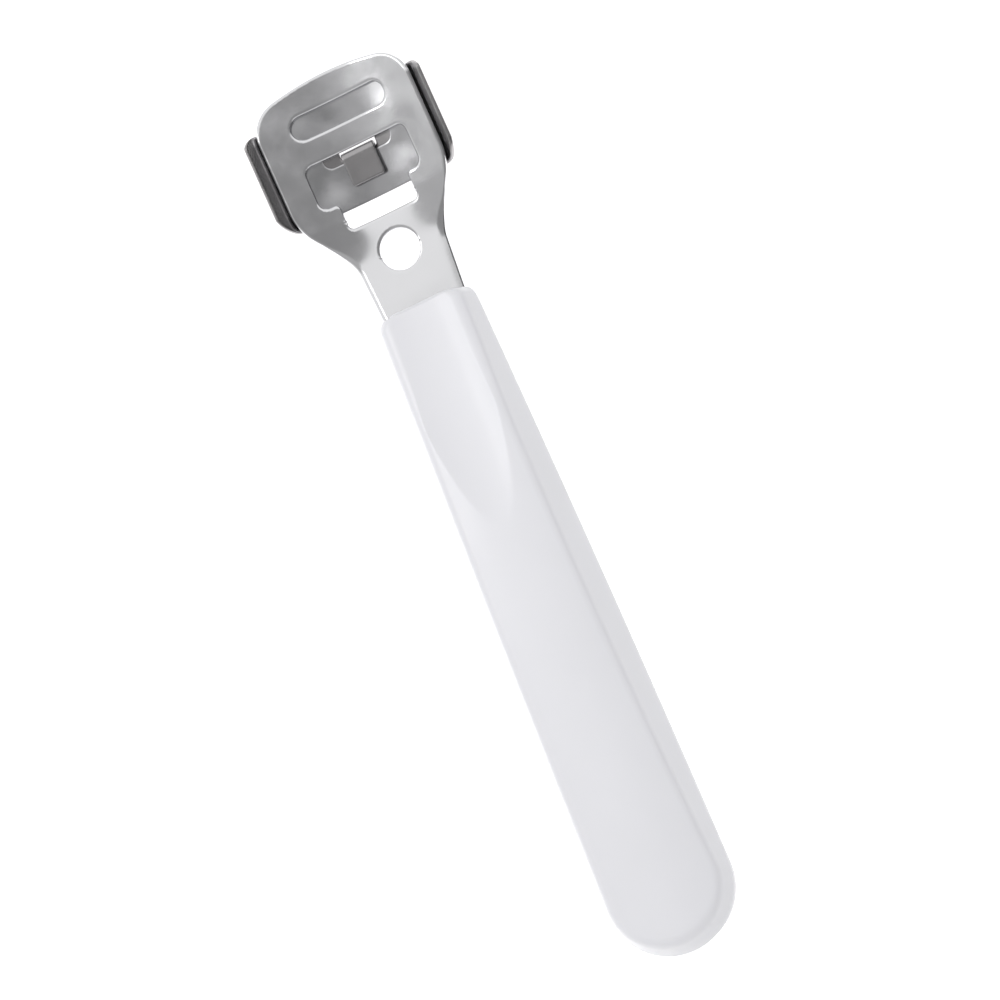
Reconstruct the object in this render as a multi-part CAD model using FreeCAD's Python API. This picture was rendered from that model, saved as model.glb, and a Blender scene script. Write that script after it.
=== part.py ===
import FreeCAD, Part

# Callus remover: a steel scraping head on a flat-backed plastic handle.
#
# Four pieces make the tool. The head plate is one steel stamping: an arched
# head with its openings, a bend, a neck with turned-down edges and a tang that
# the handle is moulded round. The blade is a thin strip flexed to the arch.
# The guard plate covers it on the skin side, curls up past both of its ends,
# and holds it with a hook that rises through the blade's own slot.
#
# While it is built, the tool lies along Y with y = 0 at the handle's mouth and
# +Y towards the head. Z is up, and the handle's flat underside is at z = 0. The
# finished pieces are moved together, so that the origin is on the underside
# plane, below the middle of the whole tool. All lengths are in millimetres.

import math
import os

# Handle, in plan
handle_length = 128.6
handle_mouth_width = 19.6
handle_end_radius = 12.4
handle_side_bow_radius = 4800.0
handle_corner_radius = 2.4

# Handle, in section
girth_height = 4.6
foot_inset = 0.9
flank_inset = 2.9
flank_top_height = 13.2
foot_bevel = 0.5
shoulder_radius = 2.4

# Handle's back, a crown that is also bowed along the tool
back_height = 12.8
back_peak_distance = 60.0
back_bow_radius = 750.0
back_crown_radius = 38.0

# Thumb rest
scoop_length = 44.4
scoop_radius = 28.0
scoop_mouth_height = 8.4
scoop_sag_radius = 760.0

# Ribbed panel in the underside
panel_border = 2.9
panel_start = 32.8
panel_end_margin = 3.3
panel_depth = 0.5
rib_pitch = 4.1
rib_first_offset = 3.1
rib_crest_radius = 1.3
rib_end_gap = 1.1

# Steel stamping
sheet = 1.1
neck_underside_height = 4.0
neck_length = 19.0
neck_mouth_width = 17.5
neck_taper_per_side = 0.06
neck_crown_radius = 4000.0
edge_roll_radius = 1.8
neck_edge_lean = 75.0
tang_length = 30.0
tang_width = 11.0
neck_depth_in_handle = 3.0
tang_hole_radius = 2.5
tang_hole_distance = 20.0
tang_corner_radius = 3.0

# Head
head_width = 31.7
head_length = 28.0
head_tilt = 5.5
bend_radius = 25.0
arch_radius = 42.0
tip_arc_radius = 48.0
tip_corner_radius = 6.5
tip_corner_margin = 0.03
shoulder_start = 6.3
shoulder_end = -9.5
shoulder_steps = 10
fade_start = 1.6
fade_end = -8.0

# Openings in the stamping, placed along the head from the bend
hanging_hole_radius = 3.8
hanging_hole_distance = 7.8
oblong_width = 19.2
oblong_height = 4.4
oblong_position = 20.2
window_width = 20.8
window_top = 13.1
window_bottom = 4.7
window_corner_radius = 1.6
throat_width = 14.2
throat_bottom = -0.7
throat_corner_radius = 1.0
step_corner_radius = 0.8

# Blade
blade_thickness = 0.25
blade_inset = 0.95
blade_width = head_width - 2.0 * blade_inset
blade_height = 20.0
blade_edge_position = 2.85
blade_corner_radius = 0.8
blade_clearance = 0.08
blade_slot_width = 14.0
blade_slot_height = 3.4
blade_edge_width = 1.0
blade_edge_thickness = 0.05

# Guard plate
guard_thickness = 0.8
wing_stand_off = 2.65
guard_width = head_width + 2.0 * wing_stand_off
guard_edge_setback = 0.45
guard_edge_reach = 14.6
guard_top_setback = 0.35
wing_overhang = 0.85
wing_curl_radius = 2.4
wing_curl_angle = 53.0
wing_lip = 3.0
wing_trim_margin = 0.05
wing_tip_corner_radius = 2.8
wing_foot_corner_radius = 6.0

# Hook that the guard holds the blade with
hook_width = 6.6
hook_window_clearance = 0.2
hook_blade_clearance = 0.35
hook_length = 6.6
hook_corner_radius = 0.6
hook_relief = 0.4

# Cutting tools run past what they cut by this much
past = 5.0

# Places closer than this are the same when edges are picked
same_place = 0.01

X_AXIS = FreeCAD.Vector(1, 0, 0)
Y_AXIS = FreeCAD.Vector(0, 1, 0)
Z_AXIS = FreeCAD.Vector(0, 0, 1)


def vec(x, y, z=0.0):
    """A point or direction."""
    return FreeCAD.Vector(x, y, z)


def smooth(value, low, high):
    """Rise from 0 at low to 1 at high, level at both ends."""
    share = min(1.0, max(0.0, (value - low) / (high - low)))
    return share * share * (3.0 - 2.0 * share)


def arc_about(centre, start, end):
    """Arc of less than half a turn about a centre."""
    middle = (start - centre) + (end - centre)
    middle.normalize()
    radius = (start - centre).Length
    return Part.Arc(start, centre + middle * radius, end).toShape()


def rounded_outline(corners):
    """Closed wire in the XY plane through corners given as (x, y, radius)."""
    edges = []
    count = len(corners)
    ends = []
    for index in range(count):
        x, y, radius = corners[index]
        corner = vec(x, y)
        before = vec(corners[index - 1][0], corners[index - 1][1]) - corner
        after = vec(corners[(index + 1) % count][0], corners[(index + 1) % count][1]) - corner
        before.normalize()
        after.normalize()
        half = before.getAngle(after) / 2.0
        reach = radius / math.tan(half)
        inward = before + after
        inward.normalize()
        centre = corner + inward * (radius / math.sin(half))
        ends.append((corner + before * reach, corner + after * reach, centre, radius))
    for index in range(count):
        start, end, centre, radius = ends[index]
        if radius > 0:
            edges.append(arc_about(centre, start, end))
        following = ends[(index + 1) % count][0]
        if (following - end).Length > 1e-6:
            edges.append(Part.LineSegment(end, following).toShape())
    return Part.Wire(edges)


def prism(wire, direction):
    """Solid swept straight from a flat closed wire."""
    return Part.Face(wire).extrude(direction)


# Handle


def side_centre():
    """Centre of the bowed side, which is tangent to the round end inside it."""
    end = vec(0, handle_end_radius - handle_length)
    corner = vec(handle_mouth_width / 2.0, 0)
    from_end = handle_side_bow_radius - handle_end_radius
    from_corner = handle_side_bow_radius
    gap = (corner - end).Length
    along = (from_end ** 2 - from_corner ** 2 + gap ** 2) / (2.0 * gap)
    across = math.sqrt(from_end ** 2 - along ** 2)
    direction = (corner - end) * (1.0 / gap)
    return end + direction * along + vec(-direction.y, direction.x) * across


def handle_half_width(y):
    """Half of the handle's greatest width at a place along its bowed side."""
    centre = side_centre()
    return centre.x + math.sqrt(handle_side_bow_radius ** 2 - (y - centre.y) ** 2)


def handle_outline(inset, height):
    """Handle's plan outline at one height, drawn in parallel by an inset."""
    centre = side_centre()
    bow = handle_side_bow_radius - inset
    end_centre = vec(0, handle_end_radius - handle_length)
    outward = end_centre - centre
    outward.normalize()
    side_end = centre + outward * bow
    corner_y = -handle_corner_radius
    corner_x = centre.x + math.sqrt((bow - handle_corner_radius) ** 2 - (corner_y - centre.y) ** 2)
    corner_centre = vec(corner_x, corner_y)
    outward = corner_centre - centre
    outward.normalize()
    side_start = centre + outward * bow
    mouth_end = vec(corner_x, 0)
    end_point = end_centre - vec(0, handle_end_radius - inset)

    def mirrored(point):
        return vec(-point.x, point.y)

    left_centre = mirrored(centre)
    edges = [
        Part.LineSegment(mirrored(mouth_end), mouth_end).toShape(),
        arc_about(corner_centre, mouth_end, side_start),
        arc_about(centre, side_start, side_end),
        Part.Arc(side_end, end_point, mirrored(side_end)).toShape(),
        arc_about(left_centre, mirrored(side_end), mirrored(side_start)),
        arc_about(mirrored(corner_centre), mirrored(side_start), mirrored(mouth_end)),
    ]
    wire = Part.Wire(edges)
    wire.translate(Z_AXIS * height)
    return wire


def handle_blank():
    """Handle's body up to its flank tops: widest at the girth, drawn in above and below."""
    sections = [
        (0.0, foot_inset + foot_bevel),
        (foot_bevel, foot_inset),
        (girth_height, 0.0),
        (flank_top_height, flank_inset),
    ]
    wires = [handle_outline(inset, height) for height, inset in sections]
    return Part.makeLoft(wires, True, True)


def back_line_height(y):
    """Height of the handle's back along its middle."""
    away = y + back_peak_distance
    return back_height - back_bow_radius + math.sqrt(back_bow_radius ** 2 - away ** 2)


def back_form():
    """Half-round bar, bent along the bow of the back, whose top is the crown."""
    reach = max(back_peak_distance, handle_length - back_peak_distance) + past
    angle = math.degrees(reach / back_bow_radius)
    low = back_height - back_crown_radius
    left = vec(-back_crown_radius, -back_peak_distance, low)
    right = vec(back_crown_radius, -back_peak_distance, low)
    crown = Part.Arc(left, vec(0, -back_peak_distance, back_height), right).toShape()
    profile = Part.Wire([crown, Part.LineSegment(right, left).toShape()])
    pivot = vec(0, -back_peak_distance, back_height - back_bow_radius)
    profile.rotate(pivot, X_AXIS, angle)
    return Part.Face(profile).revolve(pivot, X_AXIS, -2.0 * angle)


def thumb_scoop():
    """Half-round bar that cuts the thumb rest: it sags from the mouth to where the back is met."""
    low = vec(0, 0, scoop_mouth_height)
    high = vec(0, -scoop_length, back_line_height(-scoop_length))
    half = (high - low) * 0.5
    upward = vec(0, half.z, -half.y)
    upward.normalize()
    sag_centre = low + half + upward * math.sqrt(scoop_sag_radius ** 2 - half.Length ** 2)
    left = vec(-scoop_radius, 0, scoop_mouth_height + scoop_radius)
    right = vec(scoop_radius, 0, scoop_mouth_height + scoop_radius)
    profile = Part.Wire([
        Part.Arc(left, low, right).toShape(),
        Part.LineSegment(right, left).toShape(),
    ])
    lead = math.degrees(past / scoop_sag_radius)
    turn = math.degrees(2.0 * half.Length / scoop_sag_radius)
    profile.rotate(sag_centre, X_AXIS, -turn - lead)
    return Part.Face(profile).revolve(sag_centre, X_AXIS, turn + 2.0 * lead)


def tapered_panel():
    """Recess with two round ends of different radius joined by straight sides."""
    far_radius = handle_end_radius - panel_border
    far_y = panel_end_margin + far_radius - handle_length
    near_radius = handle_half_width(-panel_start) - panel_border
    near_y = -panel_start - near_radius
    lean = math.asin((far_radius - near_radius) / (near_y - far_y))
    across = math.cos(lean)
    up = math.sin(lean)
    near = vec(near_radius * across, near_y + near_radius * up)
    far = vec(far_radius * across, far_y + far_radius * up)
    edges = [
        Part.Arc(vec(-near.x, near.y), vec(0, -panel_start), near).toShape(),
        Part.LineSegment(near, far).toShape(),
        Part.Arc(far, vec(0, far_y - far_radius), vec(-far.x, far.y)).toShape(),
        Part.LineSegment(vec(-far.x, far.y), vec(-near.x, near.y)).toShape(),
    ]
    return prism(Part.Wire(edges), Z_AXIS * panel_depth)


def rib_half_length(panel, y):
    """Half the panel's width at a rib, less the gap at the rib's end."""
    probe = Part.makeBox(4.0 * handle_end_radius, 2.0 * rib_crest_radius, panel_depth)
    probe.translate(vec(-2.0 * handle_end_radius, y - rib_crest_radius, 0))
    return panel.common(probe).BoundBox.XLength / 2.0 - rib_end_gap


def panel_ribs(panel):
    """Rows of round-backed ribs that stand in the panel, level with its border."""
    panel_length = handle_length - panel_end_margin - panel_start
    room = panel_length - 2.0 * rib_first_offset
    count = int(room / rib_pitch) + 1
    ribs = []
    for index in range(count):
        y = -panel_start - rib_first_offset - index * rib_pitch
        half = rib_half_length(panel, y)
        rib = Part.makeCylinder(rib_crest_radius, 2.0 * half, vec(-half, y, rib_crest_radius), X_AXIS)
        ribs.append(rib)
    return ribs


def make_handle(stamping):
    """Moulded handle: blank, crown, thumb rest, ribbed panel, and the seat of the tang."""
    body = handle_blank().common(back_form())
    shoulders = []
    for edge in body.Edges:
        box = edge.BoundBox
        if box.ZMin > girth_height and box.YMin < -same_place:
            shoulders.append(edge)
    body = body.makeFillet(shoulder_radius, shoulders)
    body = body.cut(thumb_scoop())
    panel = tapered_panel()
    body = body.cut(panel)
    body = body.fuse(panel_ribs(panel))
    return body.cut(stamping)


# Head, drawn flat with y = 0 at the bend and then tilted with it


def tilted(shape):
    """Lay a shape drawn along the straight head on the tilted head."""
    moved = shape.copy()
    moved.translate(vec(0, neck_length, neck_underside_height))
    pivot = vec(0, neck_length, neck_underside_height)
    moved.rotate(pivot, X_AXIS, head_tilt)
    return moved


def half_width_at(distance):
    """Half the stamping's width at a distance from the bend, positive towards the tip."""
    neck = neck_mouth_width / 2.0 + neck_taper_per_side * (distance + neck_length)
    share = smooth(distance, shoulder_end, shoulder_start)
    return neck + (head_width / 2.0 - neck) * share


def spine_at(distance):
    """Place and slope of the underside's middle line at a distance from the bend."""
    tilt = math.radians(head_tilt)
    tangent = bend_radius * math.tan(tilt / 2.0)
    if distance <= -tangent:
        return vec(0, neck_length + distance, neck_underside_height), 0.0
    if distance >= tangent:
        y = neck_length + distance * math.cos(tilt)
        return vec(0, y, neck_underside_height + distance * math.sin(tilt)), tilt
    slope = tilt * (distance + tangent) / (2.0 * tangent)
    y = neck_length - tangent + bend_radius * math.sin(slope)
    return vec(0, y, neck_underside_height + bend_radius * (1.0 - math.cos(slope))), slope


def sheet_section(distance):
    """Closed section across the stamping: an arch whose edges roll level, or down at the neck."""
    fade = smooth(distance, fade_end, fade_start)
    curve = fade / arch_radius + (1.0 - fade) / neck_crown_radius
    edge_lean = math.radians(neck_edge_lean * (1.0 - fade))
    under = 1.0 / curve
    upper = under - sheet
    inner_roll = edge_roll_radius - sheet
    reach = half_width_at(distance) - edge_roll_radius * math.sin(edge_lean)
    angle = math.asin(reach / (upper + edge_roll_radius))

    def on_arch(radius, turn):
        return vec(radius * math.sin(turn), 0, under - radius * math.cos(turn))

    roll_centre = on_arch(upper + edge_roll_radius, angle)

    def on_roll(radius, turn):
        lean = (edge_lean + angle) * turn - angle
        return roll_centre + vec(radius * math.sin(lean), 0, radius * math.cos(lean))

    def mirrored(point):
        return vec(-point.x, 0, point.z)

    top_end = on_roll(edge_roll_radius, 0.0)
    top_tip = on_roll(edge_roll_radius, 1.0)
    low_end = on_roll(inner_roll, 0.0)
    low_tip = on_roll(inner_roll, 1.0)
    top_roll = on_roll(edge_roll_radius, 0.5)
    low_roll = on_roll(inner_roll, 0.5)
    edges = [
        Part.Arc(mirrored(top_end), on_arch(upper, 0.0), top_end).toShape(),
        Part.Arc(top_end, top_roll, top_tip).toShape(),
        Part.LineSegment(top_tip, low_tip).toShape(),
        Part.Arc(low_tip, low_roll, low_end).toShape(),
        Part.Arc(low_end, on_arch(under, 0.0), mirrored(low_end)).toShape(),
        Part.Arc(mirrored(low_end), mirrored(low_roll), mirrored(low_tip)).toShape(),
        Part.LineSegment(mirrored(low_tip), mirrored(top_tip)).toShape(),
        Part.Arc(mirrored(top_tip), mirrored(top_roll), mirrored(top_end)).toShape(),
    ]
    wire = Part.Wire(edges)
    place, slope = spine_at(distance)
    wire.rotate(vec(0, 0, 0), X_AXIS, math.degrees(slope))
    wire.translate(place)
    return wire


def sheet_blank():
    """Head and neck as one sheet: a straight arched head, lofted shoulders and a tapered neck."""
    inside = -neck_length - neck_depth_in_handle
    head_section = sheet_section(shoulder_start)
    tilt = math.radians(head_tilt)
    run = head_length - shoulder_start + past
    head = prism(head_section, vec(0, math.cos(tilt), math.sin(tilt)) * run)
    step = (shoulder_end - shoulder_start) / shoulder_steps
    stations = [shoulder_start + step * index for index in range(shoulder_steps + 1)]
    shoulders = Part.makeLoft([sheet_section(station) for station in stations], True, False)
    neck = Part.makeLoft([sheet_section(shoulder_end), sheet_section(inside)], True, True)
    return head.fuse([shoulders, neck])


def tip_trimmer():
    """What lies beyond the arc of the tip and its two rounded corners."""
    side = head_width / 2.0 + tip_corner_margin
    start = head_length / 2.0
    arc_y = head_length - tip_arc_radius
    corner_x = side - tip_corner_radius
    corner_y = arc_y + math.sqrt((tip_arc_radius - tip_corner_radius) ** 2 - corner_x ** 2)
    corner_centre = vec(corner_x, corner_y)
    outward = vec(corner_x, corner_y - arc_y)
    outward.normalize()
    side_point = vec(side, corner_y)
    arc_point = corner_centre + outward * tip_corner_radius

    def mirrored(point):
        return vec(-point.x, point.y)

    edges = [
        Part.LineSegment(vec(-side, start), vec(side, start)).toShape(),
        Part.LineSegment(vec(side, start), side_point).toShape(),
        arc_about(corner_centre, side_point, arc_point),
        Part.Arc(arc_point, vec(0, head_length), mirrored(arc_point)).toShape(),
        arc_about(mirrored(corner_centre), mirrored(arc_point), mirrored(side_point)),
        Part.LineSegment(mirrored(side_point), vec(-side, start)).toShape(),
    ]
    inside = prism(Part.Wire(edges), Z_AXIS * head_width)
    wide = head_width + 2.0 * past
    block = Part.makeBox(wide, head_length, head_width, vec(-wide / 2.0, start, 0))
    trimmer = block.cut(inside)
    trimmer.translate(Z_AXIS * (-head_width / 2.0))
    return trimmer


def opening(wire):
    """Tool that cuts an opening of this outline through the arched head."""
    low = wire.copy()
    low.translate(Z_AXIS * -past)
    return prism(low, Z_AXIS * (2.0 * past + sheet))


def oblong_outline(width, height, position):
    """Slot with two round ends, across the head."""
    radius = height / 2.0
    half = width / 2.0 - radius
    low = position - radius
    high = position + radius
    edges = [
        Part.LineSegment(vec(-half, low), vec(half, low)).toShape(),
        Part.Arc(vec(half, low), vec(half + radius, position), vec(half, high)).toShape(),
        Part.LineSegment(vec(half, high), vec(-half, high)).toShape(),
        Part.Arc(vec(-half, high), vec(-half - radius, position), vec(-half, low)).toShape(),
    ]
    return Part.Wire(edges)


def window_outline():
    """Window over the blade, stepped in to the narrower throat in front of the cutting edge."""
    wide = window_width / 2.0
    narrow = throat_width / 2.0
    return rounded_outline([
        (-wide, window_top, window_corner_radius),
        (-wide, window_bottom, window_corner_radius),
        (-narrow, window_bottom, step_corner_radius),
        (-narrow, throat_bottom, throat_corner_radius),
        (narrow, throat_bottom, throat_corner_radius),
        (narrow, window_bottom, step_corner_radius),
        (wide, window_bottom, window_corner_radius),
        (wide, window_top, window_corner_radius),
    ])


def make_tang():
    """Plain flat tail with round corners and one hole, which the handle is moulded through."""
    half = tang_width / 2.0
    start = -neck_depth_in_handle + sheet
    wire = rounded_outline([
        (-half, start, 0.0),
        (-half, -tang_length, tang_corner_radius),
        (half, -tang_length, tang_corner_radius),
        (half, start, 0.0),
    ])
    tang = prism(wire, Z_AXIS * sheet)
    hole = Part.makeCylinder(tang_hole_radius, sheet, vec(0, -tang_hole_distance, 0))
    tang = tang.cut(hole)
    tang.translate(Z_AXIS * neck_underside_height)
    return tang


def make_head_plate():
    """Steel stamping with its tip, openings, hanging hole and tang."""
    plate = sheet_blank().cut(tilted(tip_trimmer()))
    plate = plate.cut(tilted(opening(oblong_outline(oblong_width, oblong_height, oblong_position))))
    plate = plate.cut(tilted(opening(window_outline())))
    hole = Part.makeCylinder(hanging_hole_radius, sheet + 2.0 * past)
    hole.translate(vec(0, neck_length - hanging_hole_distance, neck_underside_height - past))
    return plate.cut(hole).fuse(make_tang())


# Blade and guard, in layers below the stamping's arch


def arch_band(top, thickness, half_angle):
    """Section of a layer that follows the arch, between two radii and two equal angles."""
    radii = (top, top + thickness)

    def at(radius, angle):
        return vec(radius * math.sin(angle), 0, arch_radius - radius * math.cos(angle))

    edges = [
        Part.Arc(at(radii[0], -half_angle), at(radii[0], 0), at(radii[0], half_angle)).toShape(),
        Part.LineSegment(at(radii[0], half_angle), at(radii[1], half_angle)).toShape(),
        Part.Arc(at(radii[1], half_angle), at(radii[1], 0), at(radii[1], -half_angle)).toShape(),
        Part.LineSegment(at(radii[1], -half_angle), at(radii[0], -half_angle)).toShape(),
    ]
    return Part.Wire(edges)


def make_blade():
    """Thin blade flexed to the arch, ground to its edge on the side that faces the handle."""
    top = arch_radius + blade_clearance
    half_angle = math.asin(blade_width / 2.0 / top)
    blade = prism(arch_band(top, blade_thickness, half_angle), Y_AXIS * blade_height)
    blade.translate(Y_AXIS * blade_edge_position)
    half = blade_width / 2.0
    low = blade_edge_position
    high = blade_edge_position + blade_height
    outline = rounded_outline([
        (-half, low, blade_corner_radius),
        (half, low, blade_corner_radius),
        (half, high, blade_corner_radius),
        (-half, high, blade_corner_radius),
    ])
    blade = blade.common(opening(outline))
    slot_position = blade_edge_position + blade_height / 2.0
    slot = opening(oblong_outline(blade_slot_width, blade_slot_height, slot_position))
    blade = blade.cut(slot)
    return tilted(blade.cut(blade_grind(top)))


def blade_grind(top):
    """Wedge taken off the blade's underside, which leaves its thin cutting edge."""
    slope = (blade_thickness - blade_edge_thickness) / blade_edge_width
    reach = past
    profile = Part.Wire(Part.makePolygon([
        vec(0, blade_edge_position - reach, arch_radius - top - blade_edge_thickness + slope * reach),
        vec(0, blade_edge_position + blade_edge_width, arch_radius - top - blade_thickness),
        vec(0, blade_edge_position - reach, arch_radius - top - blade_thickness - reach),
        vec(0, blade_edge_position - reach, arch_radius - top - blade_edge_thickness + slope * reach),
    ]))
    axis_point = vec(0, 0, arch_radius)
    turn = math.degrees(math.asin(blade_width / 2.0 / top)) + past
    profile.rotate(axis_point, Y_AXIS, turn)
    return Part.Face(profile).revolve(axis_point, Y_AXIS, -2.0 * turn)


def guard_section():
    """Section of the guard: a layer under the blade, with both ends curled up into lips."""
    top = arch_radius + 2.0 * blade_clearance + blade_thickness
    outer_curl = wing_curl_radius + guard_thickness
    end_angle = math.radians(wing_curl_angle)
    reach = guard_width / 2.0 - outer_curl * math.sin(end_angle) - wing_lip * math.cos(end_angle)
    start_angle = math.asin(reach / (top - wing_curl_radius))

    def on_arch(radius, angle):
        return vec(radius * math.sin(angle), 0, arch_radius - radius * math.cos(angle))

    curl_centre = on_arch(top - wing_curl_radius, start_angle)

    def on_curl(radius, angle):
        return curl_centre + vec(radius * math.sin(angle), 0, -radius * math.cos(angle))

    def mirrored(point):
        return vec(-point.x, 0, point.z)

    lip = vec(math.cos(end_angle), 0, math.sin(end_angle)) * wing_lip
    middle = (start_angle + end_angle) / 2.0
    inner = [on_curl(wing_curl_radius, angle) for angle in (start_angle, middle, end_angle)]
    outer = [on_curl(outer_curl, angle) for angle in (start_angle, middle, end_angle)]
    inner_tip = inner[2] + lip
    outer_tip = outer[2] + lip
    bottom = top + guard_thickness
    right = [
        Part.Arc(inner[0], inner[1], inner[2]).toShape(),
        Part.LineSegment(inner[2], inner_tip).toShape(),
        Part.LineSegment(inner_tip, outer_tip).toShape(),
        Part.LineSegment(outer_tip, outer[2]).toShape(),
        Part.Arc(outer[2], outer[1], outer[0]).toShape(),
    ]
    left = [
        Part.Arc(mirrored(outer[0]), mirrored(outer[1]), mirrored(outer[2])).toShape(),
        Part.LineSegment(mirrored(outer[2]), mirrored(outer_tip)).toShape(),
        Part.LineSegment(mirrored(outer_tip), mirrored(inner_tip)).toShape(),
        Part.LineSegment(mirrored(inner_tip), mirrored(inner[2])).toShape(),
        Part.Arc(mirrored(inner[2]), mirrored(inner[1]), mirrored(inner[0])).toShape(),
    ]
    top_arc = Part.Arc(mirrored(inner[0]), on_arch(top, 0), inner[0]).toShape()
    bottom_arc = Part.Arc(outer[0], on_arch(bottom, 0), mirrored(outer[0])).toShape()
    return Part.Wire([top_arc] + right + [bottom_arc] + left), inner_tip.z


def hook():
    """Strip bent over by half a turn: out of the guard, up through the blade and back over it."""
    guard_top = -2.0 * blade_clearance - blade_thickness
    guard_low = guard_top - guard_thickness
    inner = (blade_clearance + blade_thickness + blade_clearance + hook_blade_clearance) / 2.0
    outer = inner + guard_thickness
    centre_y = window_top - hook_window_clearance - outer
    centre_z = guard_low + outer
    free_end = centre_y + outer - hook_length
    root = centre_y - hook_width
    edges = [
        Part.LineSegment(vec(0, root, guard_low), vec(0, centre_y, guard_low)).toShape(),
        Part.Arc(
            vec(0, centre_y, guard_low),
            vec(0, centre_y + outer, centre_z),
            vec(0, centre_y, centre_z + outer),
        ).toShape(),
        Part.LineSegment(vec(0, centre_y, centre_z + outer), vec(0, free_end, centre_z + outer)).toShape(),
        Part.LineSegment(vec(0, free_end, centre_z + outer), vec(0, free_end, centre_z + inner)).toShape(),
        Part.LineSegment(vec(0, free_end, centre_z + inner), vec(0, centre_y, centre_z + inner)).toShape(),
        Part.Arc(
            vec(0, centre_y, centre_z + inner),
            vec(0, centre_y + inner, centre_z),
            vec(0, centre_y, guard_top),
        ).toShape(),
        Part.LineSegment(vec(0, centre_y, guard_top), vec(0, root, guard_top)).toShape(),
        Part.LineSegment(vec(0, root, guard_top), vec(0, root, guard_low)).toShape(),
    ]
    strip = prism(Part.Wire(edges), X_AXIS * hook_width)
    strip.translate(X_AXIS * (-hook_width / 2.0))
    corners = []
    for edge in strip.Edges:
        at_end = abs(edge.CenterOfMass.y - free_end) < same_place
        if at_end and abs(abs(edge.CenterOfMass.x) - hook_width / 2.0) < same_place:
            corners.append(edge)
    strip = strip.makeFillet(hook_corner_radius, corners)
    developed = math.pi * (inner + outer) / 2.0 + hook_length - outer
    return strip, centre_y, developed


def make_guard_plate():
    """Guard with its wings, the clearance for the cutting edge, the hook and the hole it leaves."""
    section, tip_height = guard_section()
    low = blade_edge_position - wing_overhang
    high = blade_edge_position + blade_height - guard_top_setback
    guard = prism(section, Y_AXIS * (high - low))
    guard.translate(Y_AXIS * low)
    side = rounded_outline([
        (low, -2.0 * past, 0.0),
        (high, -2.0 * past, 0.0),
        (high, tip_height + wing_trim_margin, wing_tip_corner_radius),
        (low, tip_height + wing_trim_margin, wing_foot_corner_radius),
    ])
    side.rotate(vec(0, 0, 0), X_AXIS, 90)
    side.rotate(vec(0, 0, 0), Z_AXIS, 90)
    profile = prism(side, X_AXIS * (guard_width + 2.0 * past))
    profile.translate(X_AXIS * (-guard_width / 2.0 - past))
    guard = guard.common(profile)
    recess_top = blade_edge_position + guard_edge_setback
    recess = rounded_outline([
        (-guard_edge_reach, low - past, 0.0),
        (guard_edge_reach, low - past, 0.0),
        (guard_edge_reach, recess_top, guard_edge_setback),
        (-guard_edge_reach, recess_top, guard_edge_setback),
    ])
    guard = guard.cut(opening(recess))
    strip, root, developed = hook()
    half = hook_width / 2.0 + hook_relief
    lanced = rounded_outline([
        (-half, root, 0.0),
        (half, root, 0.0),
        (half, root + developed, hook_corner_radius),
        (-half, root + developed, hook_corner_radius),
    ])
    hole = lanced.copy()
    hole.translate(Z_AXIS * -past)
    guard = guard.cut(prism(hole, Z_AXIS * (past + sheet)))
    return tilted(guard.fuse(strip).removeSplitter())


def main():
    """Build the four pieces, move them over the origin and write one file for each."""
    os.makedirs("parts", exist_ok=True)
    head_plate = make_head_plate()
    pieces = {
        "handle": make_handle(head_plate),
        "head_plate": head_plate,
        "blade": make_blade(),
        "guard_plate": make_guard_plate(),
    }
    box = Part.makeCompound(list(pieces.values())).optimalBoundingBox(False)
    shift = vec(-(box.XMin + box.XMax) / 2.0, -(box.YMin + box.YMax) / 2.0, -box.ZMin)
    for name, shape in pieces.items():
        solid = shape.Solids[0]
        solid.translate(shift)
        print(name, len(shape.Solids), solid.isValid(), round(solid.Volume, 1))
        solid.exportStep("parts/" + name + ".step")
    print("shift", shift, "size", box.XLength, box.YLength, box.ZLength)


main()
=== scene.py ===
import math

import bmesh
import bpy
import numpy as np
from mathutils import Matrix, Vector


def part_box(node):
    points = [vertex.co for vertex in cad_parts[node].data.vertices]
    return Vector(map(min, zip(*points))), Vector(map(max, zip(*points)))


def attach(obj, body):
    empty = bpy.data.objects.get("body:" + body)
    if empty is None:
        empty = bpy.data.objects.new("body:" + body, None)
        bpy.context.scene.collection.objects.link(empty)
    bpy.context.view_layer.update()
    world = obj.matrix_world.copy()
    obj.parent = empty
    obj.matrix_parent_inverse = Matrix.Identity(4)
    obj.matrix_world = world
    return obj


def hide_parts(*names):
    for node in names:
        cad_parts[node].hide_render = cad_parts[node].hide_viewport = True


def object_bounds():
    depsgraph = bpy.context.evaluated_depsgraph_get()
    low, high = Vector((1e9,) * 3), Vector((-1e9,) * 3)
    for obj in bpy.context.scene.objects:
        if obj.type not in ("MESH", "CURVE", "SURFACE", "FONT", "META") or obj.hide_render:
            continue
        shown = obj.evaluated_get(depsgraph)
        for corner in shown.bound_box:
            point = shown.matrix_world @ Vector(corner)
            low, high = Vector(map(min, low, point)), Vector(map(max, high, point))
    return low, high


bl_info = {
    "name": "Callus remover",
    "version": (1, 0, 0),
    "blender": (4, 5, 0),
    "location": "View3D > Sidebar > Callus remover",
    "description": "Builds a callus remover: moulded handle, pressed head, blade and guard plate",
    "category": "Object",
}

# The model's frame: Y runs along the tool to the head's tip, Z is up and X is to the right.
# All lengths are in metres. Places along the tool are given from the handle's mouth.

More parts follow.
